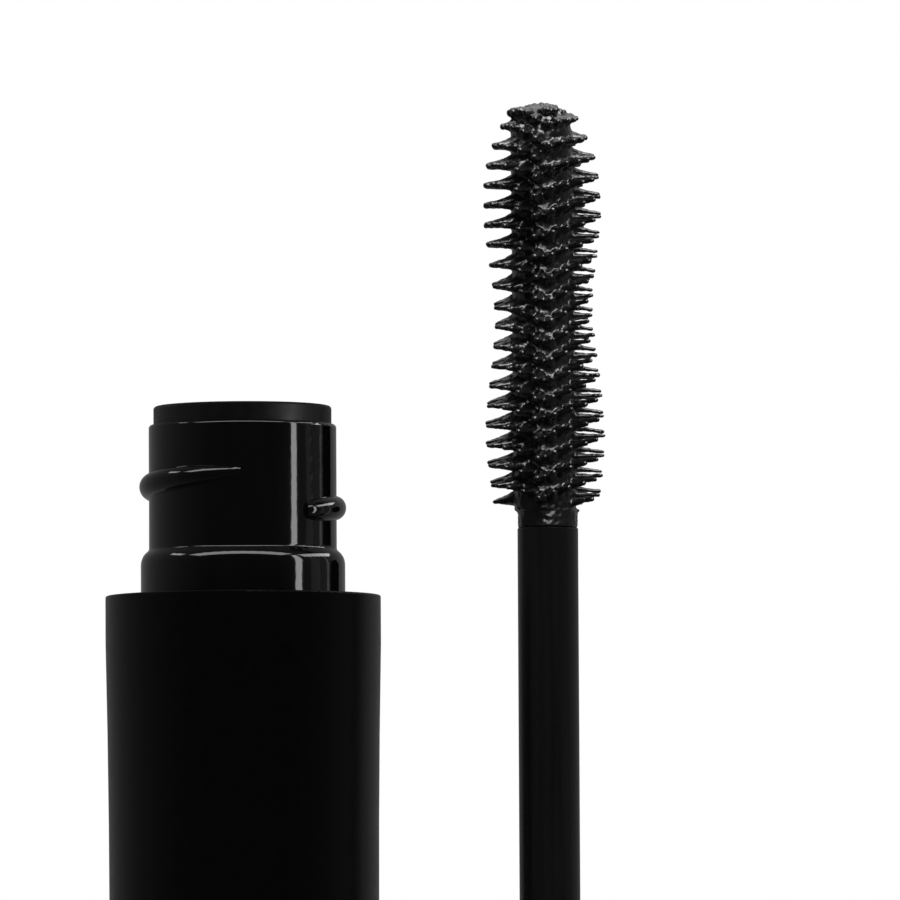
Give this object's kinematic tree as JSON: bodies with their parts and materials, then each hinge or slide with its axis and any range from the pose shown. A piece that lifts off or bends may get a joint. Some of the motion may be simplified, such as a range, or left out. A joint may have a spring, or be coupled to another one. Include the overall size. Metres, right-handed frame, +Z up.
{
  "type": "mascara tube",
  "caption": "Opened mascara: an upright tube with a threaded neck and wiper, and its wand standing beside it on the cap, moulded spiky brush up.",
  "frame": {"origin": "centre of the tube's flat base, on the surface it stands on", "axes": "+Z up along the tube; +X from the tube to the wand; -Y is the side seen from the front"},
  "size_m": [0.0363, 0.0172, 0.097],
  "materials": {
    "satin_black_case": "satin black painted plastic",
    "black_base_plastic": "matte moulded plastic",
    "label_paper": "plain uncoated label",
    "gloss_black_bottle": "polished moulded plastic",
    "matte_black_wiper": "matte soft plastic",
    "black_cream": "wet black cream",
    "black_liner": "matte moulded plastic",
    "weight_steel": "turned steel",
    "washer_foam": "closed-cell foam",
    "black_rod": "semi-gloss moulded plastic",
    "black_elastomer": "glossy moulded elastomer"
  },
  "bodies": {
    "tube": {"tube_case": "satin_black_case", "base_plug": "black_base_plastic", "base_label": "label_paper", "inner_bottle": "gloss_black_bottle", "wiper": "matte_black_wiper", "mascara_cream": "black_cream"},
    "washer": {"seal_washer": "washer_foam"},
    "wand": {"cap_shell": "satin_black_case", "inner_cap": "black_liner", "cap_weight": "weight_steel", "rod": "black_rod", "brush": "black_elastomer"}
  },
  "joints": [
    {"name": "wand_over", "type": "hinge", "parent": "tube", "child": "washer", "pos_m": [0.00955, 0, 0.08991], "axis": [0, -1, 0], "range_deg": [0, 180]},
    {"name": "cap_turn", "type": "hinge", "parent": "washer", "child": "wand", "pos_m": [0.0191, 0, 0], "axis": [0, 0, -1], "range_deg": [0, 330]}
  ]
}
